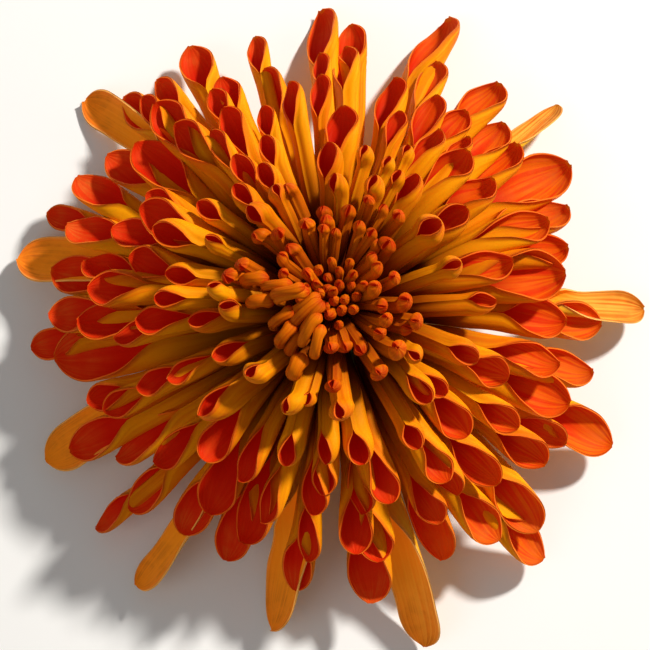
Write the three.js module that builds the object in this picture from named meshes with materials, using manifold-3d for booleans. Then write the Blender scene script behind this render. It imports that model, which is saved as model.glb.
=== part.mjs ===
// A bronze spoon chrysanthemum: a flower head picked with a stub of stem, lying face up.
//
// Quilled ray florets stand in thirteen whorls on a domed receptacle. A floret is a narrow tube
// that widens near its end into a spoon. The outer florets are long and arch down to the surface,
// the middle ones spread, and those at the heart are short and curl inwards. Two whorls of green
// bracts close the underside round the stem.
//
// Each floret of the three outer whorls is a piece of its own. From the fourth whorl inwards a
// whorl is one piece, its florets held together by a thin ring at their roots, and so are the bracts.
//
// Millimetres and degrees, +Z up. The origin is on the surface, under the middle of the outline.
import * as THREE from "three";
import { mergeVertices } from "three/addons/utils/BufferGeometryUtils.js";
import Module from "manifold-3d";

const wasm = await Module();
wasm.setup();

// Stem and receptacle.
const STEM_RADIUS = 2.1;
const STEM_LENGTH = 4.1;
const STEM_FLARE = 1.12;
const STEM_WAIST = 0.94;
const RECEPTACLE_FOOT = { radius: 2.6, height: 4.4 };
const RIM = { radius: 7.6, height: 8.6 };
const DOME_HEIGHT = 6.8;
const DOME_STEPS = [90, 72, 54, 36, 18];

// How far the roots stand off the dome, and the ring that joins the roots of an inner whorl.
const ROOT_STAND_OFF = 0.9;
const RING_HALF_THICKNESS = 0.28;

// A piece's outline along its length: its share of the length, of the full width and of the full
// thickness, and how far the upper side is scooped out (1 is flat, more is hollow).
const SPOON_FLORET = [
  [0, 0.22, 0.45, 0],
  [0.45, 0.42, 0.7, 0],
  [0.75, 0.82, 1, 0.7],
  [0.93, 1, 0.95, 1.5],
  [1, 0.56, 0.5, 0.8],
];
const CLUB_FLORET = [
  [0, 0.24, 0.45, 0],
  [0.5, 0.5, 0.7, 0],
  [0.9, 1, 1, 1.3],
  [1, 0.6, 0.5, 0.6],
];
const HEART_FLORET = [
  [0, 0.4, 0.4, 0],
  [0.5, 0.7, 0.75, 0],
  [0.88, 1, 1, 0],
  [1, 0.5, 0.5, 0],
];
const BRACT = [
  [0, 0.55, 1, 0],
  [0.4, 1, 1, 0.4],
  [0.75, 0.75, 0.8, 0.6],
  [1, 0.16, 0.4, 0.2],
];

// Every whorl from the outside in. The florets of a whorl follow one line from the root, at an angle
// from the dome's axis, to the tip at [distance from the axis, height], and each stops at its own
// reach. The line leaves the root and ends at the slopes given. Florets: [azimuth, reach, width].
const OUTER_WHORLS = [
  {
    name: "outermost_floret",
    root: 90, tip: [46.6, 0.35], leave: 6, end: -31,
    florets: [
      [3, 42, 5.5], [45, 43.5, 4.2], [69.5, 46, 5.6], [92, 44.5, 4.6], [116.5, 43.2, 4.2], [136.5, 46.5, 5.6],
      [158, 41.3, 3], [167.5, 43.3, 7], [185, 40.2, 3.6], [205.5, 42.2, 6.6], [221.5, 41.5, 3.6], [233.5, 43.6, 5.6],
      [259, 41.5, 6.6], [285.5, 44.6, 6.8], [311, 42, 4.4], [335.5, 40.4, 5],
    ],
  },
  {
    name: "lower_floret",
    root: 83, tip: [43, 3.4], leave: 14, end: -27,
    florets: [
      [34, 38, 6], [54.5, 39.5, 5], [86, 41.5, 3.6], [105, 40.8, 2.8], [132, 42, 4], [151, 39.5, 4.6],
      [170, 37.9, 4.8], [188, 37, 6.4], [207, 38.6, 4.4], [223.5, 36.8, 4.2], [246.5, 34.8, 4.2], [262, 36.2, 4],
      [278, 37.8, 5.2], [295, 35, 4.8], [313.5, 38.8, 4.6], [331.5, 34.8, 3.6], [347.5, 35, 5], [359.5, 35.5, 4.5],
    ],
  },
  {
    name: "upper_floret",
    root: 76, tip: [41, 5.9], leave: 21, end: -24,
    florets: [
      [25, 34.5, 5.5], [48.5, 35, 4.8], [68, 37.8, 3.6], [87, 37.5, 3.6], [104.5, 35.2, 3.9], [125.5, 40.4, 3.2],
      [144, 37.5, 4.2], [160.5, 37.5, 4.4], [179, 37.5, 4.2], [214, 34, 4.6], [235.5, 34.8, 4.2], [306, 36.4, 4.4],
    ],
  },
];
const INNER_WHORLS = [
  {
    root: 69, tip: [40, 7.9], leave: 28, end: -22,
    florets: [
      [15, 32, 4.2], [42.5, 33.5, 5], [57, 32.5, 3.4], [74.5, 33, 4.2], [92, 35.6, 2.6], [115, 35.5, 3.4],
      [130.5, 39.5, 2.9], [138.5, 34.8, 4.8], [168, 33.6, 4], [182.5, 33.4, 4.6], [200, 34, 3.4], [250, 32.4, 5.2],
      [265.5, 32.6, 3.2], [280.5, 33, 4.2], [325, 34, 4.2], [338, 33, 5.2], [357.5, 30.5, 4.6],
    ],
  },
  {
    root: 62, tip: [37, 11], leave: 35, end: -18,
    florets: [
      [9, 30.5, 6], [23, 30.5, 4.5], [64, 32.3, 3.6], [93, 31.8, 2.8], [118, 34, 2.9], [129, 36.8, 4.6],
      [159.5, 30.8, 3.8], [175.5, 32, 4.4], [203.5, 32.5, 3.2], [221.5, 30.6, 4], [238.5, 31, 4.6], [275, 32, 3.8],
      [296.5, 31, 3.6], [313, 31.2, 4], [345.5, 30.3, 4.4],
    ],
  },
  {
    root: 55, tip: [32.5, 14.6], leave: 42, end: -12,
    florets: [
      [38, 26.8, 4.8], [51, 29, 3], [71, 27.5, 2.6], [100.5, 30.8, 3.4], [109, 28.2, 2.6], [118, 30, 3.4],
      [129.5, 32, 4.2], [148, 28.6, 3.2], [166, 27.2, 3.9], [189, 28.6, 3.6], [204.5, 27.5, 3.2], [253, 29.6, 3.4],
      [265.5, 27.4, 3.6], [279.5, 27.3, 3.8], [304.5, 29.2, 3.8], [326.5, 28.7, 3.4],
    ],
  },
  {
    root: 48, tip: [28.5, 17.6], leave: 49, end: -6,
    florets: [
      [12, 23.8, 4.6], [48, 26.5, 4.6], [58, 26.8, 3.8], [86, 26, 4.2], [124, 27.8, 2.7], [152, 28, 4.4],
      [187, 25.4, 3.4], [206, 23.5, 3], [231.5, 26.3, 3.8], [244, 26, 3.4], [268, 25, 3.2], [285.5, 27, 3.4],
      [301.5, 27.4, 3.6], [315, 24.4, 4], [337, 24.6, 4],
    ],
  },
  {
    root: 41, tip: [25, 20.4], leave: 56, end: 2,
    florets: [
      [34, 21, 3.6], [63, 22.5, 2], [112, 23.2, 2.6], [124, 22.8, 3], [144, 21.6, 2.5], [158, 24.9, 3.4],
      [170.5, 21.8, 2.6], [179, 22.9, 2.6], [224, 23, 3.8], [255, 22.5, 2.8], [269, 21.4, 2.8], [280, 21.9, 3.2],
      [299, 22.5, 2.6], [359, 21, 2.8],
    ],
  },
  {
    root: 34, tip: [20.6, 23], leave: 62, end: 12,
    florets: [
      [54, 19.3, 3], [61, 18.6, 1.8], [66, 19.5, 1.8], [76, 20, 2.2], [90, 20, 3], [117.5, 19.5, 2.4],
      [131, 19.3, 2.5], [156.5, 18, 2.2], [192, 18.8, 2.7], [209.5, 17.4, 2.9], [311.5, 18.8, 2.8],
      [318.5, 19.3, 2.7], [336, 20.4, 2.8],
    ],
  },
  {
    root: 27, tip: [17.2, 25.4], leave: 68, end: 24,
    florets: [
      [12, 17, 2.6], [32, 16.8, 3.8], [67, 16.3, 2.6], [86, 15.6, 2.4], [118.5, 16, 2.4], [131, 15.8, 2.8],
      [181.5, 16, 2.6], [189.5, 15, 2.9], [228, 16, 3.2], [252, 16.8, 2.8], [258, 15.2, 1.8], [275, 17, 3.2],
      [323, 14.4, 2.3],
    ],
  },
  {
    root: 20, tip: [14.7, 27.4], leave: 74, end: 40,
    florets: [
      [41, 10.8, 2.6], [52, 13.6, 2], [59.5, 12.9, 1.4], [66, 12.4, 1.6], [80, 11.6, 2], [98, 11.6, 2.2],
      [113.5, 14.6, 2.2], [134, 11, 2], [143, 12.8, 2.4], [158, 11.6, 2.2], [166, 13.6, 2.4], [172, 10.8, 2.4],
      [188, 11.4, 2.4], [204, 10.4, 2], [220.5, 12.4, 2.2], [231, 11.4, 2.1], [246.5, 12.8, 2.8], [272, 12.9, 2.1],
      [302, 13, 2.6], [313, 12.2, 2.8], [332, 10.2, 2], [342, 11.2, 2.4], [351, 10.8, 2.6],
    ],
  },
  {
    root: 13, tip: [9.9, 28], leave: 79, end: 84,
    florets: [
      [359, 6.4, 2.2], [10, 7.8, 1.8], [22, 6.6, 2], [34, 7.8, 1.9], [46, 8.4, 1.7], [58, 9.8, 1.6], [70, 9, 1.7],
      [82, 8.1, 1.3], [91, 9.9, 1.8], [101, 7.8, 1.5], [113, 9, 2.2], [128, 8.2, 2.2], [146, 7.6, 1.8],
      [163, 6.8, 1.5], [176, 8.2, 1.8], [187, 7.4, 1.8], [197, 8.6, 1.9], [208, 7.6, 1.8], [219, 8.8, 1.9],
      [230, 7.8, 1.8], [241, 8.8, 2], [254, 8, 1.9], [269, 8.4, 2], [284, 8.6, 2.2], [300, 8.2, 2.1],
      [316, 7.8, 2], [332, 7.4, 2], [345, 7.8, 1.9],
    ],
  },
];
const OPEN_INNER_WHORLS = 4;
const FLORET_THICKNESS = 1.25;
const HEART_THICKNESS = 1.1;

// The heart: small closed florets in a golden-angle spiral, joined by a pad at their roots.
const HEART = { count: 26, reach: 4.9, height: 26.4, dip: 1.2, width: 1.15, pad: 1.15, leave: 90, end: 96 };
const GOLDEN_ANGLE = 137.508;

const BRACT_WHORLS = [
  { name: "outer_bracts", count: 11, turn: 0, from: [3.7, 4.4], to: [8.8, 5.7], slope: 12, width: 3 },
  { name: "inner_bracts", count: 13, turn: 14, from: [5.3, 5.7], to: [10.8, 7.4], slope: 15, width: 3.2 },
];
const BRACT_THICKNESS = 0.5;

// The number of sides of each kind of piece, seen end on.
const SPOON_SIDES = 6;
const CLUB_SIDES = 5;
const BRACT_SIDES = 4;
const RING_SIDES = 20;
const STEM_SIDES = 14;
const RECEPTACLE_SIDES = 22;

const materials = {
  outer: new THREE.MeshStandardMaterial({ color: 0xe08a2a, roughness: 0.55, metalness: 0 }),
  middle: new THREE.MeshStandardMaterial({ color: 0xdc5a22, roughness: 0.52, metalness: 0 }),
  heart: new THREE.MeshStandardMaterial({ color: 0xc9560f, roughness: 0.55, metalness: 0 }),
  bract: new THREE.MeshStandardMaterial({ color: 0x5d7a36, roughness: 0.65, metalness: 0 }),
  stem: new THREE.MeshStandardMaterial({ color: 0x6b8440, roughness: 0.6, metalness: 0 }),
};

const radians = THREE.MathUtils.degToRad;

// Keeps only the positions and merges shared vertices, dropping the triangles that this flattens.
function closed(geometry) {
  geometry.deleteAttribute("normal");
  geometry.deleteAttribute("uv");
  const merged = mergeVertices(geometry, 1e-4);
  const corners = Array.from(merged.index.array);
  const kept = [];
  for (let i = 0; i < corners.length; i += 3) {
    const [a, b, c] = corners.slice(i, i + 3);
    if (a !== b && b !== c && c !== a) kept.push(a, b, c);
  }
  merged.setIndex(kept);
  return merged;
}

// A closed shape turned about the Z axis from [radius, height] pairs that run from the foot upwards.
function turned(pairs, sides) {
  const points = pairs.map(([radius, height]) => new THREE.Vector2(radius, height));
  return closed(new THREE.LatheGeometry(points, sides)).rotateX(Math.PI / 2);
}

function ring([radius, height]) {
  const t = RING_HALF_THICKNESS;
  const corners = [[t, -t], [t, t], [-t, t], [-t, -t], [t, -t]];
  return turned(corners.map(([out, up]) => [radius + out, height + up]), RING_SIDES);
}

function toSolid(geometry) {
  const vertProperties = new Float32Array(geometry.attributes.position.array);
  const triVerts = new Uint32Array(geometry.index.array);
  return new wasm.Manifold(new wasm.Mesh({ numProp: 3, vertProperties, triVerts }));
}

// Joins several closed geometries into one, filling any pocket that is shut in between their roots.
function joined(geometries) {
  const whole = geometries.map(toSolid).reduce((sum, one) => sum.add(one));
  const [solid] = whole.decompose().sort((a, b) => b.volume() - a.volume());
  const { vertProperties, triVerts } = solid.getMesh();
  const geometry = new THREE.BufferGeometry();
  geometry.setAttribute("position", new THREE.BufferAttribute(vertProperties, 3));
  geometry.setIndex(new THREE.BufferAttribute(triVerts, 1));
  return geometry;
}

// A smooth line in the plane of x (distance from the axis) and y (height) between two places.
function meridian(from, to, leave, end) {
  const start = new THREE.Vector2(...from);
  const finish = new THREE.Vector2(...to);
  const handle = start.distanceTo(finish) / 3;
  const towards = (slope) => new THREE.Vector2(Math.cos(radians(slope)), Math.sin(radians(slope)));
  return new THREE.CubicBezierCurve(
    start,
    start.clone().addScaledVector(towards(leave), handle),
    finish.clone().addScaledVector(towards(end), -handle),
    finish,
  );
}

// The share of a meridian's length at which it is as far from the axis as the reach.
function shareAtReach(line, reach) {
  const places = line.getSpacedPoints(200);
  const found = places.findIndex((place) => place.x >= reach);
  return found < 0 ? 1 : found / 200;
}

// A closed shape bent along a meridian, up to a share of its length, and turned to its azimuth.
function bent(line, upTo, outline, { width, thickness, azimuth, sides }) {
  const rows = outline.length - 1;
  const firstCorner = sides % 2 === 0 ? Math.PI / 2 : Math.PI;
  const shape = closed(new THREE.CylinderGeometry(1, 1, 1, sides, rows, false, firstCorner));
  const { position } = shape.attributes;
  for (let i = 0; i < position.count; i += 1) {
    const [share, wide, thick, scoop] = outline[Math.round((position.getY(i) + 0.5) * rows)];
    const across = -position.getX(i) * wide * (width / 2);
    const side = position.getZ(i);
    const lift = side * thick * (thickness / 2) * (side > 0 ? 1 - scoop : 1);
    const at = line.getPointAt(share * upTo);
    const along = line.getTangentAt(share * upTo);
    position.setXYZ(i, at.x - along.y * lift, across, at.y + along.x * lift);
  }
  return shape.rotateZ(radians(azimuth));
}

// Where a root stands, as [distance from the axis, height], at an angle from the dome's axis.
function rootPlace(angle) {
  return [
    (RIM.radius + ROOT_STAND_OFF) * Math.sin(radians(angle)),
    RIM.height + (DOME_HEIGHT + ROOT_STAND_OFF) * Math.cos(radians(angle)),
  ];
}

function floretsOf({ root, tip, leave, end, florets }, outline, sides) {
  const line = meridian(rootPlace(root), tip, leave, end);
  return florets.map(([azimuth, reach, width]) =>
    bent(line, shareAtReach(line, reach), outline, { width, thickness: FLORET_THICKNESS, azimuth, sides }));
}

function heartFlorets() {
  const foot = rootPlace(0)[1];
  return Array.from({ length: HEART.count }, (_, i) => {
    const spread = Math.sqrt((i + 0.5) / HEART.count);
    const tip = [HEART.reach * spread, HEART.height - HEART.dip * (1 - spread)];
    const line = meridian([HEART.pad * spread, foot], tip, HEART.leave, HEART.end);
    const azimuth = GOLDEN_ANGLE * i;
    const size = { width: HEART.width, thickness: HEART_THICKNESS, azimuth, sides: CLUB_SIDES };
    return bent(line, 1, HEART_FLORET, size);
  });
}

function heartPad() {
  const foot = rootPlace(0)[1];
  const t = RING_HALF_THICKNESS;
  const edge = HEART.pad + t;
  return turned([[0, foot - t], [edge, foot - t], [edge, foot + t], [0, foot + t]], RING_SIDES);
}

function bractsOf({ count, turn, from, to, slope, width }) {
  const line = meridian(from, to, slope, slope);
  return Array.from({ length: count }, (_, i) => {
    const azimuth = turn + (360 * i) / count;
    return bent(line, 1, BRACT, { width, thickness: BRACT_THICKNESS, azimuth, sides: BRACT_SIDES });
  });
}

function stem() {
  const waist = [STEM_RADIUS * STEM_WAIST, STEM_LENGTH / 2];
  const flare = [STEM_RADIUS * STEM_FLARE, STEM_LENGTH];
  return turned([[0, 0], [STEM_RADIUS, 0], waist, flare, [0, STEM_LENGTH]], STEM_SIDES);
}

function receptacle() {
  const { radius, height } = RECEPTACLE_FOOT;
  const dome = DOME_STEPS.map((angle) => [
    RIM.radius * Math.sin(radians(angle)),
    RIM.height + DOME_HEIGHT * Math.cos(radians(angle)),
  ]);
  return turned([[0, height], [radius, height], ...dome, [0, RIM.height + DOME_HEIGHT]], RECEPTACLE_SIDES);
}

function piece(name, geometry, material) {
  geometry.computeVertexNormals();
  const mesh = new THREE.Mesh(geometry, material);
  mesh.name = name;
  return mesh;
}

function groupOf(name, ...pieces) {
  const group = new THREE.Group();
  group.name = name;
  return group.add(...pieces);
}

const twoDigits = (number) => String(number).padStart(2, "0");

const rays = OUTER_WHORLS.flatMap((whorl) =>
  floretsOf(whorl, SPOON_FLORET, SPOON_SIDES).map((floret, i) =>
    piece(`${whorl.name}_${twoDigits(i + 1)}`, floret, materials.outer)));

const innerWhorls = INNER_WHORLS.map((whorl, i) => {
  const open = i < OPEN_INNER_WHORLS;
  const florets = open ? floretsOf(whorl, SPOON_FLORET, SPOON_SIDES) : floretsOf(whorl, CLUB_FLORET, CLUB_SIDES);
  const name = `floret_whorl_${twoDigits(OUTER_WHORLS.length + i + 1)}`;
  return piece(name, joined([ring(rootPlace(whorl.root)), ...florets]), materials.middle);
});

const flower = groupOf(
  "chrysanthemum",
  groupOf(
    "underside",
    piece("stem", stem(), materials.stem),
    piece("receptacle", receptacle(), materials.bract),
    ...BRACT_WHORLS.map((whorl) =>
      piece(whorl.name, joined([ring(whorl.from), ...bractsOf(whorl)]), materials.bract)),
  ),
  groupOf("outer_florets", ...rays),
  groupOf("inner_florets", ...innerWhorls, piece("heart", joined([heartPad(), ...heartFlorets()]), materials.heart)),
);

// Puts the middle of the outline over the origin and the lowest point on the surface.
const box = new THREE.Box3().setFromObject(flower);
const middle = box.getCenter(new THREE.Vector3());
flower.position.set(-middle.x, -middle.y, -box.min.z);

export default flower;
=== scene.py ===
"""A bronze spoon chrysanthemum: one picked flower head, lying face up.

Every floret is a ribbon rolled into a tube, which opens near its end into a cupped spoon. The
florets stand in whorls on a domed receptacle, over two whorls of green bracts and a cut stem.
"""

import math

import bpy
import numpy as np
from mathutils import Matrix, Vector


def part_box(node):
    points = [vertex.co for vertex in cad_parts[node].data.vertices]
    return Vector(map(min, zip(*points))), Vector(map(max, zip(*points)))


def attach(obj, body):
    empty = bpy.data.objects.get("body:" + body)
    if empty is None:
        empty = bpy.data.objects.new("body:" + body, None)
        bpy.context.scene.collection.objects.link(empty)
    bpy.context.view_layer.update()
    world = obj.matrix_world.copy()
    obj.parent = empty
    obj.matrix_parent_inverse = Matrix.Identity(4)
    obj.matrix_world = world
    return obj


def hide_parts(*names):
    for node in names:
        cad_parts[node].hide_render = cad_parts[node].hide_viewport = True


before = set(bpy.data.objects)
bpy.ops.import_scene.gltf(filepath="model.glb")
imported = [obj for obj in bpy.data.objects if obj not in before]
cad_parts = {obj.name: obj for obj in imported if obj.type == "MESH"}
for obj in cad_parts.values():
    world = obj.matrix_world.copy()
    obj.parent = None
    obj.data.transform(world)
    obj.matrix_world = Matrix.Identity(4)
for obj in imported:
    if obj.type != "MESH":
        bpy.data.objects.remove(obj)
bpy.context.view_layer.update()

MM = 0.001
UP = np.array([0.0, 0.0, 1.0])

# ---------------------------------------------------------------- sizes, in millimetres and degrees

RIM_RADIUS = 7.6
RIM_HEIGHT = 8.6
DOME_HEIGHT = 6.8
ROOT_STAND_OFF = 0.1
RECEPTACLE_FOOT_HEIGHT = 4.4
LINE_PLACES = 200

# Every whorl from the outside in: the angle from the dome's axis to its roots, the tip of its line as
# (distance from the axis, height), the slopes at which the line leaves and ends, and its florets as
# (azimuth, reach, width of the spoon).
WHORLS = [
    {
        "root": 90, "tip": (46.6, 0.35), "leave": 6, "end": -31,
        "florets": [
            (3, 42, 5.5), (45, 43.5, 4.2), (69.5, 46, 5.6), (92, 44.5, 4.6), (116.5, 43.2, 4.2),
            (136.5, 46.5, 5.6), (158, 41.3, 3), (167.5, 43.3, 7), (185, 40.2, 3.6), (205.5, 42.2, 6.6),
            (221.5, 41.5, 3.6), (233.5, 43.6, 5.6), (259, 41.5, 6.6), (285.5, 44.6, 6.8),
            (311, 42, 4.4), (335.5, 40.4, 5),
        ],
    },
    {
        "root": 83, "tip": (43, 3.4), "leave": 14, "end": -27,
        "florets": [
            (34, 38, 6), (54.5, 39.5, 5), (86, 41.5, 3.6), (105, 40.8, 2.8), (132, 42, 4),
            (151, 39.5, 4.6), (170, 37.9, 4.8), (188, 37, 6.4), (207, 38.6, 4.4), (223.5, 36.8, 4.2),
            (246.5, 34.8, 4.2), (262, 36.2, 4), (278, 37.8, 5.2), (295, 35, 4.8), (313.5, 38.8, 4.6),
            (331.5, 34.8, 3.6), (347.5, 35, 5), (359.5, 35.5, 4.5),
        ],
    },
    {
        "root": 76, "tip": (41, 5.9), "leave": 21, "end": -24,
        "florets": [
            (25, 34.5, 5.5), (48.5, 35, 4.8), (68, 37.8, 3.6), (87, 37.5, 3.6), (104.5, 35.2, 3.9),
            (125.5, 40.4, 3.2), (144, 37.5, 4.2), (160.5, 37.5, 4.4), (179, 37.5, 4.2), (214, 34, 4.6),
            (235.5, 34.8, 4.2), (306, 36.4, 4.4),
        ],
    },
    {
        "root": 69, "tip": (40, 7.9), "leave": 28, "end": -22,
        "florets": [
            (15, 32, 4.2), (42.5, 33.5, 5), (57, 32.5, 3.4), (74.5, 33, 4.2), (92, 35.6, 2.6),
            (115, 35.5, 3.4), (130.5, 39.5, 2.9), (138.5, 34.8, 4.8), (168, 33.6, 4),
            (182.5, 33.4, 4.6), (200, 34, 3.4), (250, 32.4, 5.2), (265.5, 32.6, 3.2), (280.5, 33, 4.2),
            (325, 34, 4.2), (338, 33, 5.2), (357.5, 30.5, 4.6),
        ],
    },
    {
        "root": 62, "tip": (37, 11), "leave": 35, "end": -18,
        "florets": [
            (9, 30.5, 6), (23, 30.5, 4.5), (64, 32.3, 3.6), (93, 31.8, 2.8), (118, 34, 2.9),
            (129, 36.8, 4.6), (159.5, 30.8, 3.8), (175.5, 32, 4.4), (203.5, 32.5, 3.2),
            (221.5, 30.6, 4), (238.5, 31, 4.6), (275, 32, 3.8), (296.5, 31, 3.6), (313, 31.2, 4),
            (345.5, 30.3, 4.4),
        ],
    },
    {
        "root": 55, "tip": (32.5, 14.6), "leave": 42, "end": -12,
        "florets": [
            (38, 26.8, 4.8), (51, 29, 3), (71, 27.5, 2.6), (100.5, 30.8, 3.4), (109, 28.2, 2.6),
            (118, 30, 3.4), (129.5, 32, 4.2), (148, 28.6, 3.2), (166, 27.2, 3.9), (189, 28.6, 3.6),
            (204.5, 27.5, 3.2), (253, 29.6, 3.4), (265.5, 27.4, 3.6), (279.5, 27.3, 3.8),
            (304.5, 29.2, 3.8), (326.5, 28.7, 3.4),
        ],
    },
    {
        "root": 48, "tip": (28.5, 17.6), "leave": 49, "end": -6,
        "florets": [
            (12, 23.8, 4.6), (48, 26.5, 4.6), (58, 26.8, 3.8), (86, 26, 4.2), (124, 27.8, 2.7),
            (152, 28, 4.4), (187, 25.4, 3.4), (206, 23.5, 3), (231.5, 26.3, 3.8), (244, 26, 3.4),
            (268, 25, 3.2), (285.5, 27, 3.4), (301.5, 27.4, 3.6), (315, 24.4, 4), (337, 24.6, 4),
        ],
    },
    {
        "root": 41, "tip": (25, 20.4), "leave": 56, "end": 2,
        "florets": [
            (34, 21, 3.6), (63, 22.5, 2), (112, 23.2, 2.6), (124, 22.8, 3), (144, 21.6, 2.5),
            (158, 24.9, 3.4), (170.5, 21.8, 2.6), (179, 22.9, 2.6), (224, 23, 3.8), (255, 22.5, 2.8),
            (269, 21.4, 2.8), (280, 21.9, 3.2), (299, 22.5, 2.6), (359, 21, 2.8),
        ],
    },
    {
        "root": 34, "tip": (20.6, 23), "leave": 62, "end": 12,
        "florets": [
            (54, 19.3, 3), (61, 18.6, 1.8), (66, 19.5, 1.8), (76, 20, 2.2), (90, 20, 3),
            (117.5, 19.5, 2.4), (131, 19.3, 2.5), (156.5, 18, 2.2), (192, 18.8, 2.7),
            (209.5, 17.4, 2.9), (311.5, 18.8, 2.8), (318.5, 19.3, 2.7), (336, 20.4, 2.8),
        ],
    },
    {
        "root": 27, "tip": (17.2, 25.4), "leave": 68, "end": 24,
        "florets": [
            (12, 17, 2.6), (32, 16.8, 3.8), (67, 16.3, 2.6), (86, 15.6, 2.4), (118.5, 16, 2.4),
            (131, 15.8, 2.8), (181.5, 16, 2.6), (189.5, 15, 2.9), (228, 16, 3.2), (252, 16.8, 2.8),
            (258, 15.2, 1.8), (275, 17, 3.2), (323, 14.4, 2.3),
        ],
    },
    {
        "root": 20, "tip": (14.7, 27.4), "leave": 74, "end": 40,
        "florets": [
            (41, 10.8, 2.6), (52, 13.6, 2), (59.5, 12.9, 1.4), (66, 12.4, 1.6), (80, 11.6, 2),
            (98, 11.6, 2.2), (113.5, 14.6, 2.2), (134, 11, 2), (143, 12.8, 2.4), (158, 11.6, 2.2),
            (166, 13.6, 2.4), (172, 10.8, 2.4), (188, 11.4, 2.4), (204, 10.4, 2), (220.5, 12.4, 2.2),
            (231, 11.4, 2.1), (246.5, 12.8, 2.8), (272, 12.9, 2.1), (302, 13, 2.6), (313, 12.2, 2.8),
            (332, 10.2, 2), (342, 11.2, 2.4), (351, 10.8, 2.6),
        ],
    },
    {
        "root": 13, "tip": (9.9, 28), "leave": 79, "end": 84,
        "florets": [
            (359, 6.4, 2.2), (10, 7.8, 1.8), (22, 6.6, 2), (34, 7.8, 1.9), (46, 8.4, 1.7),
            (58, 9.8, 1.6), (70, 9, 1.7), (82, 8.1, 1.3), (91, 9.9, 1.8), (101, 7.8, 1.5),
            (113, 9, 2.2), (128, 8.2, 2.2), (146, 7.6, 1.8), (163, 6.8, 1.5), (176, 8.2, 1.8),
            (187, 7.4, 1.8), (197, 8.6, 1.9), (208, 7.6, 1.8), (219, 8.8, 1.9), (230, 7.8, 1.8),
            (241, 8.8, 2), (254, 8, 1.9), (269, 8.4, 2), (284, 8.6, 2.2), (300, 8.2, 2.1),
            (316, 7.8, 2), (332, 7.4, 2), (345, 7.8, 1.9),
        ],
    },
]
OUTERMOST, LOWER, UPPER = 0, 1, 2
FIRST_CLUB_WHORL = 7
FIRST_BUD_WHORL = 9
FIRST_CURLED_WHORL = 10

HEART = {"count": 26, "reach": 4.9, "height": 26.4, "dip": 1.2, "width": 1.75, "pad": 1.15}
GOLDEN_ANGLE = 137.508

PETAL_THICKNESS = 0.26
BRACT_THICKNESS = 0.34

# The outermost florets that have gone limp: flat, faded and a little dry.
LIMP_AZIMUTHS = (3, 45, 136.5, 167.5, 205.5, 233.5, 259, 285.5)

BRACT_WHORLS = {
    "outer_bracts": {
        "count": 11, "turn": 0, "start": (3.4, 4.5), "tip": (8.9, 5.9), "slope": 12, "width": 3.4,
    },
    "inner_bracts": {
        "count": 13, "turn": 14, "start": (4.9, 5.6), "tip": (10.9, 7.7), "slope": 15, "width": 3.7,
    },
}

# Every opening leans a little to one side, so that the florets show more of that side.
OPENING_LEAN = np.array([-0.7, 0.2, 0.0])

# Round the heart, the azimuth where the curled florets lie over it the most, how far to each side of it
# they still do, and how strong the curl must be for a floret to turn in at all.
CURLED_OVER = 215
CURL_SPREAD = 46
CURL_FROM = 0.4
INNERMOST_FROM_HEIGHT = 27.7

rng = np.random.default_rng(23)

stem_low, stem_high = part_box("stem")
AXIS = np.array([(stem_low[0] + stem_high[0]) / 2, (stem_low[1] + stem_high[1]) / 2, 0.0]) / MM


# ---------------------------------------------------------------- lines and ribbons

def smooth(x):
    """0 to 1, with level ends."""
    x = np.clip(x, 0.0, 1.0)
    return x * x * (3 - 2 * x)


def meridian(start, tip, leave, end, sweep=1 / 3):
    """A smooth line between two places, given as (distance from the axis, height)."""
    a, d = np.array(start, float), np.array(tip, float)
    handle = np.linalg.norm(d - a) * sweep
    b = a + handle * np.array([math.cos(math.radians(leave)), math.sin(math.radians(leave))])
    c = d - handle * np.array([math.cos(math.radians(end)), math.sin(math.radians(end))])
    t = np.linspace(0, 1, LINE_PLACES)[:, None]
    return (1 - t) ** 3 * a + 3 * t * (1 - t) ** 2 * b + 3 * t * t * (1 - t) * c + t ** 3 * d


def length_along(points):
    steps = np.linalg.norm(np.diff(points, axis=0), axis=1)
    return np.concatenate([[0.0], np.cumsum(steps)])


def cut_at_reach(line, reach):
    """The part of a line from its root to the given distance from the axis."""
    beyond = np.nonzero(line[:, 0] >= reach)[0]
    return line if len(beyond) == 0 else line[: max(beyond[0], 8) + 1]


def at_shares(points, shares):
    """The places at shares of a line's length."""
    run = length_along(points)
    return np.stack([np.interp(shares * run[-1], run, points[:, k]) for k in range(points.shape[1])], axis=1)


def unit(vectors):
    return vectors / np.maximum(np.linalg.norm(vectors, axis=-1, keepdims=True), 1e-9)


def root_place(angle):
    """Where a floret is rooted on the dome, at an angle from the dome's axis."""
    a = math.radians(angle)
    across = (RIM_RADIUS + ROOT_STAND_OFF) * math.sin(a)
    return across, RIM_HEIGHT + (DOME_HEIGHT + ROOT_STAND_OFF) * math.cos(a)


def stand_up(flat, azimuth, sideways=0.0):
    """Turns a line of (distance, height) to its azimuth, with a sideways shift along it."""
    a = math.radians(azimuth)
    out = np.array([math.cos(a), math.sin(a), 0.0])
    left = np.array([-math.sin(a), math.cos(a), 0.0])
    return flat[:, :1] * out + flat[:, 1:2] * UP + np.asarray(sideways).reshape(-1, 1) * left


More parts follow.
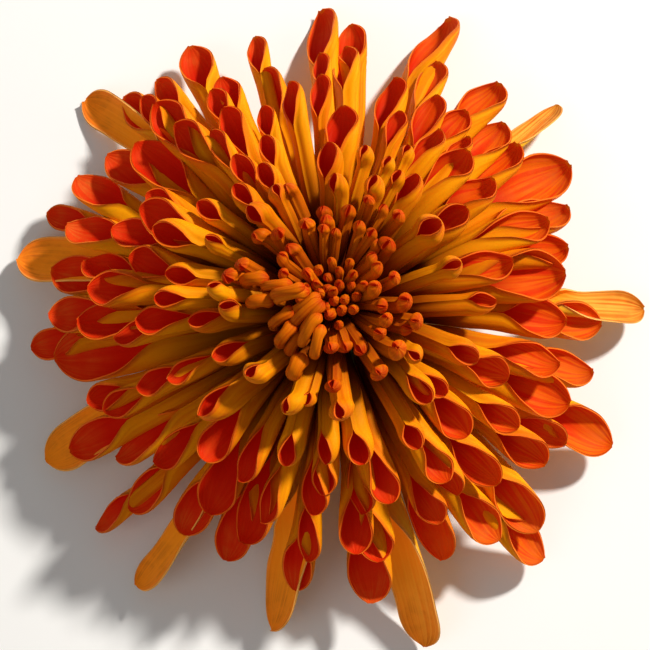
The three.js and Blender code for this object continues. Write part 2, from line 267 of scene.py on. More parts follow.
def ribbon(spine, facing, half_width, wrap, flatten, belly, thickness, shares, rows=15, skew=0.0, frill=0.0):
    """A closed shell: a ribbon rolled round its spine, open towards its facing side.

    wrap is the half angle that the ribbon is rolled through, flatten how tall the roll is for its width,
    and belly how far its middle lies below the spine; each has one value per place on the spine.
    """
    along = unit(np.gradient(spine, axis=0))
    facing = unit(facing - np.sum(facing * along, axis=1, keepdims=True) * along)
    side = np.cross(facing, along)
    v = np.linspace(-1, 1, rows)[None, :]
    wrap = wrap[:, None]
    radius = half_width[:, None] / np.sin(np.minimum(wrap, math.pi / 2))
    turn = wrap * (v + skew * (1 - v * v))
    depth = np.minimum(thickness, 0.4 * radius * flatten)
    layers = []
    for inner in (0.0, 1.0):
        r = radius - inner * depth
        across = r * np.sin(turn)
        up = flatten * (radius - r * np.cos(turn)) - belly[:, None] + frill
        layers.append(spine[:, None] + across[..., None] * side[:, None] + up[..., None] * facing[:, None])
    places = np.concatenate([layer.reshape(-1, 3) for layer in layers])
    n, m = len(spine), rows
    grid = np.arange(n * m).reshape(n, m)
    outer = np.stack([grid[:-1, :-1], grid[:-1, 1:], grid[1:, 1:], grid[1:, :-1]], axis=-1).reshape(-1, 4)
    rim = np.concatenate([grid[:, 0], grid[-1, 1:], grid[-2::-1, -1], grid[0, -2:0:-1]])
    ahead = np.roll(rim, -1)
    edge = np.stack([ahead, rim, rim + n * m, ahead + n * m], axis=-1)
    facts = {
        "inner": np.repeat([0.0, 1.0], n * m),
        "along": np.tile(np.repeat(shares, m), 2),
        "across": np.tile(v.ravel(), 2 * n),
    }
    return places, np.concatenate([outer, outer[:, ::-1] + n * m, edge]), facts


def make_piece(name, shells, material, node):
    """One object from one or more closed shells, each (places, faces, facts), in millimetres."""
    places, faces, start = [], [], 0
    facts = {key: [] for key in shells[0][2]}
    for shell_places, shell_faces, shell_facts in shells:
        places.append(shell_places)
        faces.append(shell_faces + start)
        start += len(shell_places)
        for key, values in shell_facts.items():
            facts[key].append(values)
    mesh = bpy.data.meshes.new(name)
    corners = (np.concatenate(places) + AXIS) * MM
    mesh.from_pydata(corners.tolist(), [], np.concatenate(faces).tolist())
    for key, values in facts.items():
        layer = mesh.attributes.new(key, "FLOAT", "POINT")
        layer.data.foreach_set("value", np.concatenate(values).astype(np.float32))
    mesh.polygons.foreach_set("use_smooth", [True] * len(mesh.polygons))
    mesh.materials.append(material)
    mesh.update()
    piece = bpy.data.objects.new(name, mesh)
    bpy.context.collection.objects.link(piece)
    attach(piece, "root")
    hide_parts(node)


# ---------------------------------------------------------------- florets

# How each kind of floret is rolled: places along and across it, the half angle it is rolled through in
# the middle of its opening and at its tip, the length of the opening in spoon widths, how tall the roll is
# for its width, how wide its tube is, and how far its tip cups up.
KIND_PARTS = ("count", "rows", "middle", "end", "opening", "tall", "tube", "cup")
FLORET_KINDS = {
    kind: dict(zip(KIND_PARTS, values)) for kind, values in {
        "spoon": (30, 17, 2.2, 1.3, 1.7, 0.6, 0.78, 0.45),
        "strap": (34, 19, 1.15, 0.9, 3.2, 0.62, 0.56, 0.3),
        "club": (26, 15, 2.5, 1.8, 1.0, 0.74, 0.82, 0.45),
        "bud": (26, 15, 2.8, 2.3, 0.5, 0.84, 0.62, 0.5),
        "curled": (28, 15, 3.0, 2.8, 0.26, 0.88, 0.6, 0.42),
        "heart": (20, 11, 3.05, 2.85, 0.24, 0.9, 0.76, 0.35),
    }.items()
}

# The half angle of a tube that meets itself, how much closer the places along a floret lie at its tip, the
# largest share of a floret that may be open, and the width of its root as a share of its spoon.
CLOSED = 3.13
CLOSER_AT_TIP = 1.7
LONGEST_OPENING = 0.68
ROOT_WIDTH = 0.3

# How far florets differ from one another: in height, in the lift of the tip, in the bow of the whole
# floret and of its tip (shares of its length), in the length and tightness of the roll, and in how far
# the floret is turned and twisted about its own line.
HEIGHT_SPREAD = 0.75
TIP_LIFT = 0.35
BOW, TIP_BOW = 0.036, 0.012
OPENING_SPREAD, ROLL_SPREAD, SEAM_SPREAD = 0.18, 0.1, 0.05
TURN_SPREAD, TWIST_SPREAD = 0.5, 1.1

# How deep the waves along a floret's edges are, for a strap and for the others.
STRAP_WAVE, OTHER_WAVE = 0.34, 0.13
LOWEST = 0.03


def floret_spine(line, azimuth, width, shares, jitter):
    """The line of one floret, bowed and lifted a little so that no two are alike."""
    length = length_along(line)[-1]
    flat = at_shares(line, shares)
    lift = TIP_LIFT * width / 4 * rng.uniform(-0.6, 1) * smooth((shares - 0.8) / 0.2)
    flat[:, 1] += HEIGHT_SPREAD * jitter[2] * shares ** 2 + lift
    tip_bow = TIP_BOW * length * rng.uniform(-1, 1) * shares ** 3
    return stand_up(flat, azimuth, BOW * length * jitter[0] * np.sin(math.pi * shares) + tip_bow)


def edge_waves(shares, spoon, rows, width, depth):
    """How far the open edges of a floret wave up and down."""
    v = np.linspace(-1, 1, rows)[None, :]
    size = depth * smooth(spoon / 0.4)[:, None] * v ** 2 * width / 6
    phase = rng.uniform(0, 6.28, 2)
    long_waves = np.sin(9 * shares[:, None] + phase[0] + 2.2 * v)
    short_waves = np.sin(23 * shares[:, None] + phase[1] - 3 * v)
    return size * (long_waves + 0.5 * short_waves)


def floret(line, azimuth, width, kind, openness=0.0, turned_in=False):
    """One floret along its line: a tube that opens into a spoon, a strap, or a closed club."""
    shape = FLORET_KINDS[kind]
    jitter = rng.uniform(-1, 1, 8)
    shares = 1 - (1 - np.linspace(0, 1, shape["count"])) ** CLOSER_AT_TIP
    length = length_along(line)[-1]
    spine = floret_spine(line, azimuth, width, shares, jitter)

    # The roll, from a closed tube to the open spoon.
    open_length = shape["opening"] * (1 + OPENING_SPREAD * jitter[3]) * width + 0.8
    opening = min(LONGEST_OPENING, open_length / length)
    spoon = np.clip((shares - 1 + opening) / opening, 0, 1)
    middle = shape["middle"] * (1 + ROLL_SPREAD * jitter[4]) - openness
    wrap = CLOSED + (middle - CLOSED) * smooth(spoon / 0.5)
    wrap = wrap + (shape["end"] - middle) * smooth((spoon - 0.4) / 0.6)

    # The width, swelling from the tube into the spoon, then rounded off at the tip.
    swell = smooth((shares - 1 + 1.25 * opening) / (0.85 * opening))
    growth = (shape["tube"] - ROOT_WIDTH) * smooth(shares / 0.5)
    half_width = width / 2 * (ROOT_WIDTH + growth + (1 - shape["tube"]) * swell)
    tip_length = 0.66 if kind in ("spoon", "strap") else 0.95
    round_from = 1 - min(0.34, tip_length * width / length)
    u = np.clip((shares - round_from) / (1 - round_from), 0, 1)
    half_width = half_width * np.sqrt(np.clip(1 - 0.985 * u ** 2.2, 0.012, 1))

    # The belly, lifted towards the rim at the tip so that the spoon cups up.
    rim = width / 2 * shape["tall"] * (1 - math.cos(middle)) / math.sin(min(middle, math.pi / 2))
    belly = width / 2 * shape["tube"] * shape["tall"] * (0.6 + 0.4 * smooth(shares / 0.5))
    belly = belly - (belly + shape["cup"] * (rim - belly)) * (1 - np.sqrt(np.clip(1 - u ** 2.4, 0, 1)))
    frill = edge_waves(shares, spoon, shape["rows"], width, STRAP_WAVE if kind == "strap" else OTHER_WAVE)

    a = math.radians(azimuth)
    out = np.array([math.cos(a), math.sin(a), 0.0])
    left = np.array([-math.sin(a), math.cos(a), 0.0])
    along = unit(np.gradient(spine, axis=0))
    if turned_in:
        facing = unit(np.cross(along, np.cross(-UP, along)))
    else:
        facing = unit(np.cross(along, np.cross(UP * 0.9 - out * 0.5, along))) + OPENING_LEAN
    facing = facing + (TURN_SPREAD * jitter[5] + TWIST_SPREAD * jitter[6] * (shares[:, None] - 0.6)) * left
    places, faces, facts = ribbon(
        spine, facing, half_width, wrap, shape["tall"], belly, PETAL_THICKNESS, shares, shape["rows"],
        SEAM_SPREAD * jitter[7], frill)
    facts["spoon"] = np.tile(np.repeat(spoon, shape["rows"]), 2)
    facts["tint"] = np.full(len(places), rng.uniform(0, 1))
    places[:, 2] = np.maximum(places[:, 2], LOWEST)
    return places, faces, facts


# How much wider a rolled floret is drawn than it reads from above, by kind, and when it is turned in.
WIDEN = {"spoon": 1.2, "strap": 1.0, "club": 1.34, "bud": 1.44, "curled": 1.42}
TURNED_IN_WIDTH = 0.84
NARROW = 2.3


def club_line(whorl, azimuth, reach):
    """The line of a floret next to the heart, and whether it curls in over it."""
    off = (azimuth - CURLED_OVER + 180) % 360 - 180
    over = math.exp(-((off / CURL_SPREAD) ** 2))
    start, height = root_place(whorl["root"]), whorl["tip"][1]
    if over > CURL_FROM:
        pulled_in, lift = (0.76, 0.2) if height > INNERMOST_FROM_HEIGHT else (0.5, -0.9)
        tip = (max(reach * (1 - pulled_in * over), 1.6), height + lift)
        return meridian(start, tip, 62, 166 + 12 * rng.uniform(-1, 1), 0.62), True
    lean = rng.uniform(14, 74)
    tip = (reach + rng.uniform(-0.4, 1.3), height - 0.5 - 0.05 * (74 - lean))
    return meridian(start, tip, whorl["leave"] + 6, lean, 0.44), False


def kind_of_floret(rank, azimuth, width):
    if rank == OUTERMOST and azimuth in LIMP_AZIMUTHS:
        return "strap"
    if rank < FIRST_CLUB_WHORL:
        return "spoon"
    if rank >= FIRST_CURLED_WHORL:
        return "curled"
    return "bud" if rank >= FIRST_BUD_WHORL or width < NARROW else "club"


def whorl_florets(rank):
    whorl = WHORLS[rank]
    line = meridian(root_place(whorl["root"]), whorl["tip"], whorl["leave"], whorl["end"])
    made = []
    for azimuth, reach, width in whorl["florets"]:
        kind = kind_of_floret(rank, azimuth, width)
        reached, turned_in = cut_at_reach(line, reach), False
        if kind == "curled":
            reached, turned_in = club_line(whorl, azimuth, reach)
            azimuth += rng.uniform(-3.5, 3.5)
        openness = 0.25 - 0.1 * rank if kind == "spoon" else 0.0
        slim = TURNED_IN_WIDTH if turned_in else 1.0
        made.append(floret(reached, azimuth, width * WIDEN[kind] * slim, kind, openness, turned_in))
    return made


def heart_florets():
    foot = root_place(0)[1]
    made = []
    for i in range(HEART["count"]):
        spread = math.sqrt((i + 0.5) / HEART["count"])
        tip = (HEART["reach"] * spread, HEART["height"] - HEART["dip"] * (1 - spread))
        line = meridian((HEART["pad"] * spread, foot), tip, 90 - 14 * spread, rng.uniform(48, 84), 0.4)
        width = HEART["width"] * (0.85 + 0.35 * rng.uniform(0, 1))
        made.append(floret(line, GOLDEN_ANGLE * i, width, "heart"))
    return made


# ---------------------------------------------------------------- the green underside

TURNED_SIDES = 72
BRACT_PLACES = 20
BRACT_ROLL = 0.62
BRACT_BELLY = 0.12


def bract(shape, azimuth):
    line = meridian(shape["start"], shape["tip"], shape["slope"], shape["slope"] + 8)
    shares = np.linspace(0, 1, BRACT_PLACES)
    jitter = rng.uniform(-1, 1, 3)
    spine = stand_up(at_shares(line, shares), azimuth + 2 * jitter[0], 0.1 * jitter[1] * shares)
    pointed = np.sqrt(np.clip(1 - shares ** 2.6, 0.01, 1))
    half_width = shape["width"] / 2 * (0.55 + 0.45 * smooth(shares / 0.4)) * pointed
    wrap = np.full(BRACT_PLACES, BRACT_ROLL)
    belly = np.full(BRACT_PLACES, BRACT_BELLY)
    facing = np.tile(UP, (BRACT_PLACES, 1))
    places, faces, facts = ribbon(spine, facing, half_width, wrap, 1.0, belly, BRACT_THICKNESS, shares, 11)
    facts["tint"] = np.full(len(places), rng.uniform(0, 1))
    return places, faces, facts


def turned(profile, sides, ribs=0, rib_depth=0.0):
    """A closed shell turned from (radius, height) pairs that start and end on the axis."""
    profile = np.array(profile, float)
    angles = np.linspace(0, 2 * math.pi, sides, endpoint=False)
    swell = 1 + rib_depth * np.cos(ribs * angles)
    rings = profile[1:-1]
    circle = np.stack([np.cos(angles) * swell, np.sin(angles) * swell], axis=1)
    places = np.concatenate([
        np.concatenate([circle * radius, np.full((sides, 1), height)], axis=1) for radius, height in rings
    ] + [[[0, 0, profile[0, 1]]], [[0, 0, profile[-1, 1]]]])
    faces = []
    last = len(rings) - 1
    foot, top = len(rings) * sides, len(rings) * sides + 1
    for j in range(sides):
        k = (j + 1) % sides
        for i in range(last):
            faces.append((i * sides + j, i * sides + k, (i + 1) * sides + k, (i + 1) * sides + j))
        faces.append((k, j, foot, foot))
        faces.append((last * sides + j, last * sides + k, top, top))
    return places, faces


def make_turned(name, node, profile, sides, material, ribs=0, rib_depth=0.0):
    places, faces = turned(profile, sides, ribs, rib_depth)
    mesh = bpy.data.meshes.new(name)
    mesh.from_pydata(((places + AXIS) * MM).tolist(), [], [tuple(dict.fromkeys(face)) for face in faces])
    mesh.polygons.foreach_set("use_smooth", [True] * len(mesh.polygons))
    mesh.materials.append(material)
    piece = bpy.data.objects.new(name, mesh)
    bpy.context.collection.objects.link(piece)
    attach(piece, "root")
    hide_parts(node)


# ---------------------------------------------------------------- materials

def colour(red, green, blue):
    """A linear colour from one given on the 0 to 255 screen scale."""
    def linear(c):
        return c / 255 / 12.92 if c <= 10 else ((c / 255 + 0.055) / 1.055) ** 2.4

    return linear(red), linear(green), linear(blue), 1.0


class Bench:
    """A node tree with short ways to add and join its nodes."""

    def __init__(self, tree):
        self.tree = tree

    def add(self, kind, inputs=None, **settings):
        made = self.tree.nodes.new(kind)
        for key, value in settings.items():
            setattr(made, key, value)
        for key, value in (inputs or {}).items():
            self.feed(made, key, value)
        return made

    def feed(self, node, key, value):
        if isinstance(value, bpy.types.NodeSocket):
            self.tree.links.new(value, node.inputs[key])
        else:
            node.inputs[key].default_value = value

    def fact(self, name):
        return self.add("ShaderNodeAttribute", attribute_name=name).outputs["Fac"]

    def maths(self, operation, a, b=0.0, clamp=False):
        return self.add("ShaderNodeMath", {0: a, 1: b}, operation=operation, use_clamp=clamp).outputs[0]

    def step(self, value, low, high, to_low=0.0, to_high=1.0):
        inputs = {"Value": value, "From Min": low, "From Max": high, "To Min": to_low, "To Max": to_high}
        return self.add("ShaderNodeMapRange", inputs, interpolation_type="SMOOTHSTEP").outputs["Result"]

    def mix(self, share, a, b, blend="MIX"):
        made = self.add("ShaderNodeMix", data_type="RGBA", blend_type=blend)
        self.feed(made, 0, share)
        self.feed(made, 6, a)
        self.feed(made, 7, b)
        return made.outputs[2]

    def noise(self, scale, vector=None, detail=3.0):
        inputs = {"Scale": scale, "Detail": detail}
        if vector is not None:
            inputs["Vector"] = vector
        return self.add("ShaderNodeTexNoise", inputs).outputs["Fac"]


def new_group(name, inputs, outputs):
    tree = bpy.data.node_groups.new(name, "ShaderNodeTree")
    for label, default in inputs.items():
        socket = tree.interface.new_socket(label, in_out="INPUT", socket_type="NodeSocketFloat")
        socket.default_value = default
    for label in outputs:
        tree.interface.new_socket(label, in_out="OUTPUT", socket_type="NodeSocketFloat")
    bench = Bench(tree)
    return tree, bench, bench.add("NodeGroupInput"), bench.add("NodeGroupOutput")


def make_vein_group():
    """Fine lines that run the length of a petal or a bract, with their height."""
    tree, bench, given, out = new_group(
        "lengthwise_veins", {"Across": 0.0, "Along": 0.0, "Piece": 0.0, "Count": 9.0}, ("Lines", "Height"))
    wide = bench.maths("MULTIPLY", given.outputs["Across"], given.outputs["Count"])
    shift = bench.maths("MULTIPLY", given.outputs["Piece"], 37.0)
    slow = bench.maths("MULTIPLY", given.outputs["Along"], 1.6)
    place = bench.add("ShaderNodeCombineXYZ", {0: wide, 1: slow, 2: shift}).outputs[0]
    threads = bench.noise(1.3, place, 4.0)
    lines = bench.step(threads, 0.38, 0.64)
    ridges = bench.maths("SINE", bench.maths("MULTIPLY", wide, 3.3))
    height = bench.maths("ADD", bench.maths("MULTIPLY", ridges, 0.35), threads)
    bench.feed(out, "Lines", lines)
    bench.feed(out, "Height", height)
    return tree


def make_mottle_group():
    """Soft cloudy patches and small specks over a living surface."""
    tree, bench, given, out = new_group(
        "soft_mottle", {"Size": 300.0, "Speck Size": 2400.0}, ("Patches", "Specks"))
    where = bench.add("ShaderNodeTexCoord").outputs["Object"]
    patches = bench.noise(given.outputs["Size"], where, 3.0)
    specks = bench.noise(given.outputs["Speck Size"], where, 2.0)
    bench.feed(out, "Patches", bench.step(patches, 0.35, 0.68))
    bench.feed(out, "Specks", bench.step(specks, 0.58, 0.7))
    return tree


VEINS = make_vein_group()
MOTTLE = make_mottle_group()


def use_group(bench, tree, inputs):
    made = bench.add("ShaderNodeGroup", node_tree=tree)
    for key, value in inputs.items():
        bench.feed(made, key, value)
    return made.outputs


def new_material(name):
    material = bpy.data.materials.new(name)
    material.use_nodes = True
    material.node_tree.nodes.clear()
    bench = Bench(material.node_tree)
    shader = bench.add("ShaderNodeBsdfPrincipled")
    out = bench.add("ShaderNodeOutputMaterial")
    material.node_tree.links.new(shader.outputs["BSDF"], out.inputs["Surface"])
    return material, bench, shader


# Where the orange side of the head begins and where it is full, as distance along x from the axis.
ORANGE_SIDE_FROM, ORANGE_SIDE_TO = 0.004, 0.024
# Painted shade low in the middle of the head: the distances from the axis where it is full and where it
# ends, and the heights where it is full and where it ends.
HEART_SHADE_TO, HEART_SHADE_FROM = 0.006, 0.021
HEART_SHADE_HEIGHT, OPEN_HEIGHT = 0.0195, 0.0275
# How strongly the hollows glow: a painted glow for light that comes through the thin wall.
PAINTED_GLOW_STRENGTH = 0.2


def petal_material(name, outside, outside_deep, inside, inside_light, rim, root, dry, dryness, orange_side_colour,
                   root_shade_reach):
    """Thin living petal: golden outside, red inside, with veins, a paler rim, a drier tip, painted shade and
    a painted glow.
    """
    material, bench, shader = new_material(name)
    inner, along = bench.fact("inner"), bench.fact("along")
    across, piece, spoon = bench.fact("across"), bench.fact("tint"), bench.fact("spoon")
    veins = use_group(bench, VEINS, {"Across": across, "Along": along, "Piece": piece, "Count": 7.0})
    mottle = use_group(bench, MOTTLE, {"Size": 420.0, "Speck Size": 3000.0})
    edge = bench.maths("ABSOLUTE", across)

    # The outside: deeper along the veins, towards the tip, and in some florets more than in others.
    vein_share = bench.maths("MULTIPLY", veins["Lines"], 0.4)
    out_share = bench.maths("ADD", vein_share, bench.step(spoon, 0.3, 1.0, 0.0, 0.4))
    own_share = bench.maths("MULTIPLY", bench.maths("SUBTRACT", piece, 0.5), 0.5)
    out_share = bench.maths("ADD", out_share, own_share, clamp=True)
    out_colour = bench.mix(out_share, outside, outside_deep)
    out_colour = bench.mix(bench.maths("MULTIPLY", mottle["Patches"], 0.2), out_colour, outside)

    # The inside: red, darkest down in the hollow and lighter towards its edges and its tip; this is partly
    # its own colour and partly painted shade and light.
    at_edge = bench.maths("POWER", edge, 3.0)
    in_share = bench.maths("MULTIPLY", at_edge, bench.step(spoon, 0.1, 0.7, 0.1, 0.55))
    in_share = bench.maths("ADD", in_share, bench.step(spoon, 0.35, 1.0, 0.0, 0.62))
    in_share = bench.maths("ADD", in_share, bench.maths("MULTIPLY", veins["Lines"], 0.14), clamp=True)
    in_colour = bench.mix(in_share, inside, inside_light)

    # On the +x side of the head, the insides of the spoons turn orange.
    where = bench.add("ShaderNodeTexCoord").outputs["Object"]
    foot = tuple(AXIS * MM)
    from_foot = bench.add("ShaderNodeVectorMath", {0: where, 1: foot}, operation="SUBTRACT").outputs[0]
    x, y, height = bench.add("ShaderNodeSeparateXYZ", {0: from_foot}).outputs
    plus_x_side = bench.step(x, ORANGE_SIDE_FROM, ORANGE_SIDE_TO)
    orange_side_share = bench.maths("MULTIPLY", plus_x_side, bench.step(spoon, 0.12, 0.62))
    in_colour = bench.mix(orange_side_share, in_colour, bench.mix(veins["Lines"], orange_side_colour, inside_light))

    body = bench.mix(inner, out_colour, in_colour)
    rim_share = bench.maths("MULTIPLY", bench.step(edge, 0.88, 1.0), bench.step(spoon, 0.0, 0.3, 0.0, 0.8))
    body = bench.mix(rim_share, body, rim)
    # Painted shade: the root colour takes over towards the root of each floret, down among the others where
    # little light reaches.
    body = bench.mix(bench.step(along, 0.0, root_shade_reach, 0.94, 0.0), body, root)

    # Dry tissue at the tips, in patches that follow the veins.
    patches = bench.maths("ADD", mottle["Patches"], 0.25)
    dry_share = bench.maths("MULTIPLY", bench.step(spoon, 0.4, 1.0), patches)
    dry_share = bench.maths("MULTIPLY", dry_share, bench.maths("ADD", veins["Lines"], 0.5))
    body = bench.mix(bench.maths("MULTIPLY", dry_share, dryness, clamp=True), body, dry)

    # Painted shade low down in the middle of the head, where the florets crowd and shade one another: the
    # root colour takes over there.
    x_squared, y_squared = bench.maths("MULTIPLY", x, x), bench.maths("MULTIPLY", y, y)
    from_axis = bench.maths("SQRT", bench.maths("ADD", x_squared, y_squared))
    low_down = bench.step(height, HEART_SHADE_HEIGHT, OPEN_HEIGHT, 1.0, 0.0)
    painted_shade_share = bench.maths("MULTIPLY", bench.step(from_axis, HEART_SHADE_TO, HEART_SHADE_FROM, 0.95, 0.0), low_down)
    body = bench.mix(painted_shade_share, body, root)
    body = bench.mix(bench.maths("MULTIPLY", mottle["Specks"], 0.08), body, inside)
    bench.feed(shader, "Base Color", body)

    patchy = bench.step(mottle["Patches"], 0, 1, 0.52, 0.64)
    gloss = bench.maths("ADD", bench.maths("MULTIPLY", veins["Lines"], 0.1), patchy)
    bench.feed(shader, "Roughness", gloss)
    bump = bench.add("ShaderNodeBump", {"Strength": 0.35, "Distance": 0.00012, "Height": veins["Height"]})
    bench.feed(shader, "Normal", bump.outputs["Normal"])

    # Painted glow: a faint red emission in the hollows stands in for light that comes through the thin wall.
    bench.feed(shader, "Emission Color", bench.mix(inner, (0.0, 0.0, 0.0, 1.0), inside))
    shader.inputs["Emission Strength"].default_value = PAINTED_GLOW_STRENGTH
    shader.inputs["Specular IOR Level"].default_value = 0.12
    shader.inputs["Specular Tint"].default_value = (1.0, 0.55, 0.22, 1.0)
    shader.inputs["Subsurface Weight"].default_value = 0.12
    shader.inputs["Subsurface Radius"].default_value = (0.9, 0.35, 0.08)
    shader.inputs["Subsurface Scale"].default_value = 0.0008
    return material


def green_material(name, light, deep, margin, roughness):
    """Matt bract tissue: green along the middle, thin and papery at the edges."""
    material, bench, shader = new_material(name)
    along, across, piece = bench.fact("along"), bench.fact("across"), bench.fact("tint")
    veins = use_group(bench, VEINS, {"Across": across, "Along": along, "Piece": piece, "Count": 5.0})
    mottle = use_group(bench, MOTTLE, {"Size": 500.0, "Speck Size": 3500.0})
    body = bench.mix(veins["Lines"], light, deep)
    body = bench.mix(bench.maths("MULTIPLY", mottle["Patches"], 0.35), body, light)
    edge = bench.step(bench.maths("ABSOLUTE", across), 0.62, 1.0)
    edge = bench.maths("MAXIMUM", edge, bench.step(along, 0.82, 1.0))
    bench.feed(shader, "Base Color", bench.mix(bench.maths("MULTIPLY", edge, 0.75), body, margin))
    bench.feed(shader, "Roughness", bench.step(mottle["Patches"], 0, 1, roughness, roughness + 0.12))
    bump = bench.add("ShaderNodeBump", {"Strength": 0.5, "Distance": 0.00015, "Height": veins["Height"]})
    bench.feed(shader, "Normal", bump.outputs["Normal"])
    return material


def stem_material(name, light, deep, cut):
    """Ribbed stem skin, with darker lengthwise streaks and a pale cut end."""
    material, bench, shader = new_material(name)
    where = bench.add("ShaderNodeTexCoord").outputs["Object"]
    parts = bench.add("ShaderNodeSeparateXYZ", {0: where}).outputs
    stretched = bench.add("ShaderNodeMapping", {"Vector": where, "Scale": (1.0, 1.0, 0.18)}).outputs[0]
    fibres = bench.noise(1500.0, stretched, 3.0)
    mottle = use_group(bench, MOTTLE, {"Size": 380.0, "Speck Size": 3000.0})
    body = bench.mix(bench.step(fibres, 0.4, 0.62), light, deep)
    body = bench.mix(bench.maths("MULTIPLY", mottle["Patches"], 0.3), body, deep)
    body = bench.mix(bench.step(parts[2], 0.0, 0.00025, 1.0, 0.0), body, cut)
    bench.feed(shader, "Base Color", body)
    bench.feed(shader, "Roughness", bench.step(fibres, 0.3, 0.7, 0.5, 0.68))
    bump = bench.add("ShaderNodeBump", {"Strength": 0.5, "Distance": 0.0002, "Height": fibres})
    bench.feed(shader, "Normal", bump.outputs["Normal"])
    return material


def floor_material():
    material, bench, shader = new_material("pale_floor")
    where = bench.add("ShaderNodeTexCoord").outputs["Object"]
    grain = bench.noise(60.0, where, 4.0)
    bench.feed(shader, "Base Color", bench.mix(grain, colour(250, 250, 249), colour(246, 245, 244)))
    shader.inputs["Roughness"].default_value = 0.85
    return material


# The root colours are painted shade, down the lower part of each floret and low in the middle of the head.
petal = petal_material(
    "orange_petal", outside=colour(242, 150, 6), outside_deep=colour(206, 70, 3),
    inside=colour(168, 8, 1), inside_light=colour(200, 40, 5), rim=colour(228, 100, 24),
    root=colour(112, 30, 1), dry=colour(206, 110, 36), dryness=0.12, orange_side_colour=colour(214, 92, 6),
    root_shade_reach=0.84)
outer_petal = petal_material(
    "outer_orange_petal", outside=colour(242, 154, 8), outside_deep=colour(208, 78, 4),
    inside=colour(178, 14, 2), inside_light=colour(206, 52, 8), rim=colour(230, 112, 32),
    root=colour(170, 88, 8), dry=colour(196, 110, 40), dryness=0.35, orange_side_colour=colour(214, 98, 8),
    root_shade_reach=0.62)
limp_petal = petal_material(
    "limp_orange_petal", outside=colour(240, 178, 40), outside_deep=colour(216, 122, 22),
    inside=colour(230, 140, 22), inside_light=colour(222, 104, 26), rim=colour(240, 180, 100),
    root=colour(226, 160, 30), dry=colour(150, 66, 22), dryness=0.5, orange_side_colour=colour(220, 160, 62),
    root_shade_reach=0.62)
heart_petal = petal_material(
    "heart_petal", outside=colour(222, 112, 5), outside_deep=colour(178, 48, 3),
    inside=colour(190, 26, 3), inside_light=colour(204, 48, 6), rim=colour(206, 62, 8),
    root=colour(78, 14, 1), dry=colour(190, 46, 6), dryness=0.75, orange_side_colour=colour(206, 66, 6),
    root_shade_reach=1.0)
green = green_material("bract_green", colour(126, 150, 74), colour(82, 108, 46), colour(172, 158, 112), 0.55)
stem_green = stem_material("stem_green", colour(134, 154, 82), colour(92, 116, 52), colour(188, 198, 142))
receptacle_green = stem_material(
    "receptacle_green", colour(120, 142, 70), colour(84, 108, 48), colour(150, 166, 96))


# ---------------------------------------------------------------- the flower

for rank, prefix in ((OUTERMOST, "outermost_floret"), (LOWER, "lower_floret"), (UPPER, "upper_floret")):
    for number, shell in enumerate(whorl_florets(rank), start=1):
        name = f"{prefix}_{number:02d}"
        limp = rank == OUTERMOST and WHORLS[rank]["florets"][number - 1][0] in LIMP_AZIMUTHS
        made_of = limp_petal if limp else outer_petal
        make_piece("petal_" + name, [shell], made_of, node=name)

for rank in range(UPPER + 1, len(WHORLS)):
    name = f"floret_whorl_{rank + 1:02d}"
    made_of = heart_petal if rank >= FIRST_CURLED_WHORL else petal
    make_piece("petals_" + name, whorl_florets(rank), made_of, node=name)

make_piece("petals_heart", heart_florets(), heart_petal, node="heart")

for name, shape in BRACT_WHORLS.items():
    shells = [bract(shape, shape["turn"] + 360 * i / shape["count"]) for i in range(shape["count"])]
    make_piece("green_" + name, shells, green, node=name)

dome = [(RIM_RADIUS * math.sin(math.radians(a)), RIM_HEIGHT + DOME_HEIGHT * math.cos(math.radians(a)))
        for a in range(90, 5, -10)]
foot = [(0, RECEPTACLE_FOOT_HEIGHT), (2.6, RECEPTACLE_FOOT_HEIGHT), (3.6, 5.0), (5.4, 6.4), (7.0, 7.8)]
boss = foot + dome + [(0, RIM_HEIGHT + DOME_HEIGHT)]
make_turned("green_receptacle", "receptacle", boss, TURNED_SIDES, receptacle_green,
            ribs=24, rib_depth=0.012)

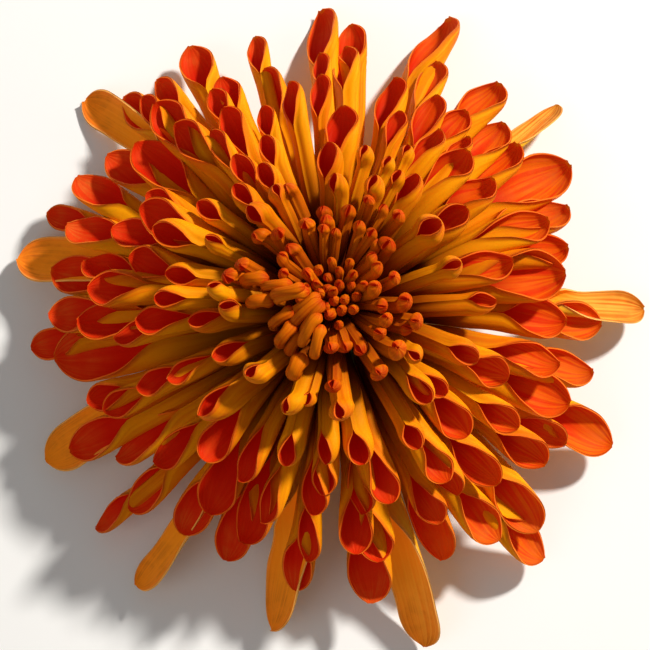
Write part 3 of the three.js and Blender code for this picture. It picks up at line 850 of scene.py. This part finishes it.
STEM_TOP = 4.1
stem_profile = [(0, 0.05), (1.7, 0.0), (2.02, 0.12), (2.1, 0.5), (2.0, 1.4), (1.97, 2.2), (2.08, 3.2),
                (2.3, 3.9), (2.32, STEM_TOP), (0, STEM_TOP)]
make_turned("green_stem", "stem", stem_profile, TURNED_SIDES, stem_green, ribs=9, rib_depth=0.035)


# ---------------------------------------------------------------- floor, light and camera

FLOOR_SIZE = 6.0

bpy.ops.mesh.primitive_plane_add(size=FLOOR_SIZE)
floor = bpy.context.object
floor.name = "studio_floor"
floor.data.materials.append(floor_material())


FLOWER_MIDDLE = (0, 0, 0.012)
AMBIENT = 0.2


def soft_light(name, place, size, watts, tint):
    lamp = bpy.data.lights.new(name, "AREA")
    lamp.shape = "DISK"
    lamp.size = size
    lamp.energy = watts
    lamp.color = tint
    made = bpy.data.objects.new(name, lamp)
    made.location = place
    made.rotation_euler = (Vector(FLOWER_MIDDLE) - Vector(place)).to_track_quat("-Z", "Y").to_euler()
    bpy.context.collection.objects.link(made)


soft_light("key_light", place=(0.50, 0.42, 0.50), size=0.08, watts=9.2, tint=(1.0, 0.97, 0.91))
soft_light("fill_light", place=(-0.5, -0.35, 0.55), size=0.6, watts=0.9, tint=(1.0, 0.98, 0.95))

world = bpy.data.worlds.new("studio")
bpy.context.scene.world = world
world.use_nodes = True
world.node_tree.nodes["Background"].inputs["Color"].default_value = (1.0, 0.99, 0.97, 1.0)
world.node_tree.nodes["Background"].inputs["Strength"].default_value = AMBIENT

bpy.context.scene.view_settings.view_transform = "Standard"

CAMERA_ELEVATION = 79
CAMERA_LENS = 150
CAMERA_SENSOR = 36
VIEW_WIDTH = 86.7
AIM = (AXIS + np.array([-1.0, -0.6, 6.0])) * MM

camera = bpy.data.cameras.new("camera")
camera.lens = CAMERA_LENS
camera.sensor_width = CAMERA_SENSOR
camera.clip_start = 0.005
distance = CAMERA_LENS / camera.sensor_width * VIEW_WIDTH * MM
tilt = math.radians(CAMERA_ELEVATION)
camera_object = bpy.data.objects.new("camera", camera)
camera_object.location = Vector(AIM) + distance * Vector((0, -math.cos(tilt), math.sin(tilt)))
camera_object.rotation_euler = (math.radians(90) - tilt, 0, 0)
bpy.context.collection.objects.link(camera_object)
bpy.context.scene.camera = camera_object
